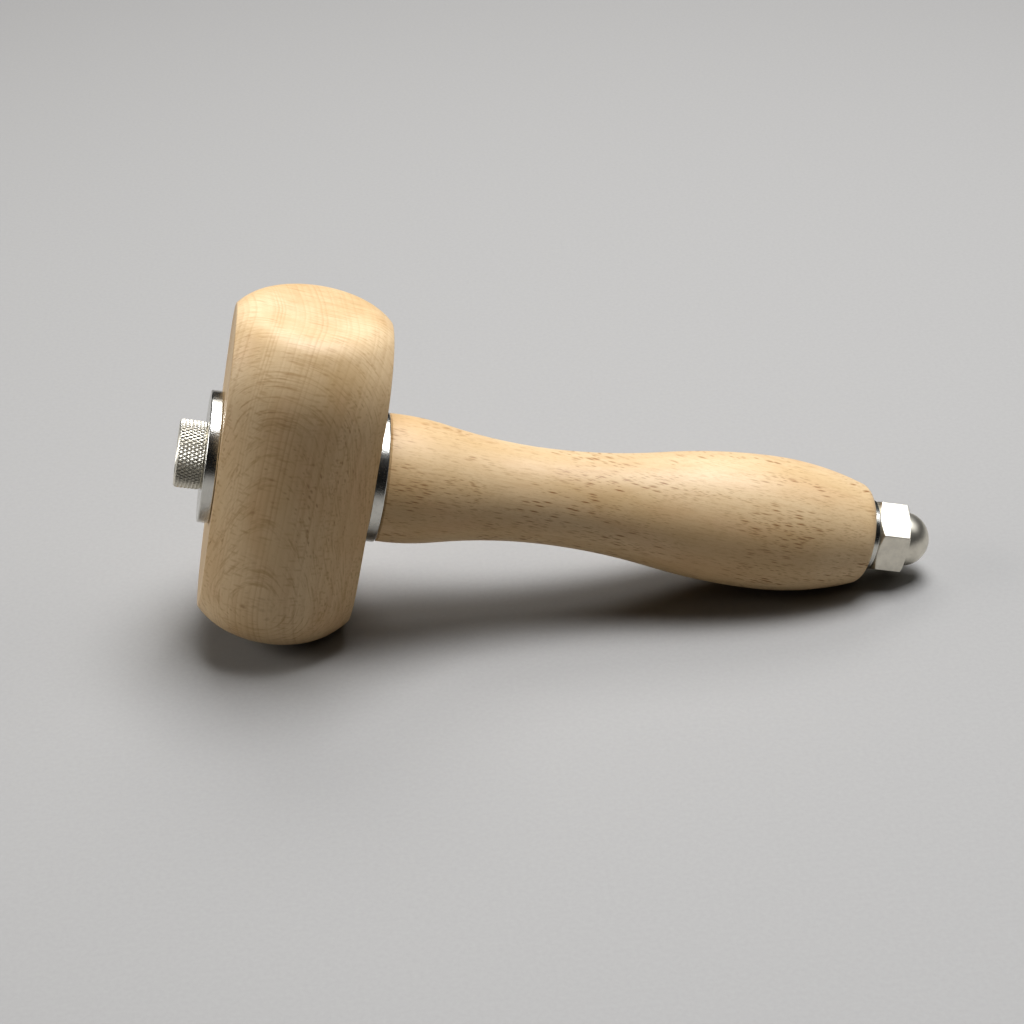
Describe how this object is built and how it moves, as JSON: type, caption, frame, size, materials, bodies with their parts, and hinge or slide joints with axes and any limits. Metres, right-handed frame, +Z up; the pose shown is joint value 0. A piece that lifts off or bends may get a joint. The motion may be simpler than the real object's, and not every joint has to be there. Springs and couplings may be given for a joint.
{
  "type": "wooden mallet",
  "caption": "Wooden mallet with a turned barrel head bolted between steel washers to a turned waisted handle, and a domed cap nut at the butt.",
  "frame": {"origin": "middle of the part's box in X and Y, on the plane it rests on (Z = 0)", "axes": "+X runs along the floor from the head to the butt, +Z up, +Y completes the frame; the handle slopes down towards its butt, where the swell rests on Z = 0"},
  "size_m": [0.1868, 0.0508, 0.0874],
  "materials": {
    "beech": "satin oiled beech",
    "plated_steel": "bright nickel plate",
    "washer_steel": "turned steel with fine tool marks",
    "rod_steel": "zinc plated threaded rod"
  },
  "bodies": {
    "mallet": {"head": "beech", "collar_washer": "washer_steel", "handle": "beech", "tie_rod": "rod_steel"},
    "head_washer": {"head_washer": "washer_steel"},
    "knurled_nut": {"knurled_nut": "plated_steel"},
    "butt_washer": {"butt_washer": "washer_steel"},
    "cap_nut": {"cap_nut": "plated_steel"}
  },
  "joints": [
    {"name": "head_washer_lift", "type": "slide", "parent": "mallet", "child": "head_washer", "axis": [-0.9762, 0, 0.2168], "range_m": [0, 0.0045]},
    {"name": "knurled_nut_turn", "type": "hinge", "parent": "head_washer", "child": "knurled_nut", "pos_m": [-0.08857, 0, 0.04908], "axis": [-0.9762, 0, 0.2168], "range_deg": [0, 1080]},
    {"name": "butt_washer_lift", "type": "slide", "parent": "mallet", "child": "butt_washer", "axis": [0.9762, 0, -0.2168], "range_m": [0, 0.006]},
    {"name": "cap_nut_turn", "type": "hinge", "parent": "butt_washer", "child": "cap_nut", "pos_m": [0.08203, 0, 0.0112], "axis": [0.9762, 0, -0.2168], "range_deg": [0, 1440]}
  ],
  "couplings": [
    {"joint": "knurled_nut_turn", "follows": "head_washer_lift", "rad_per_m": 4188.8},
    {"joint": "cap_nut_turn", "follows": "butt_washer_lift", "rad_per_m": 4188.8}
  ]
}
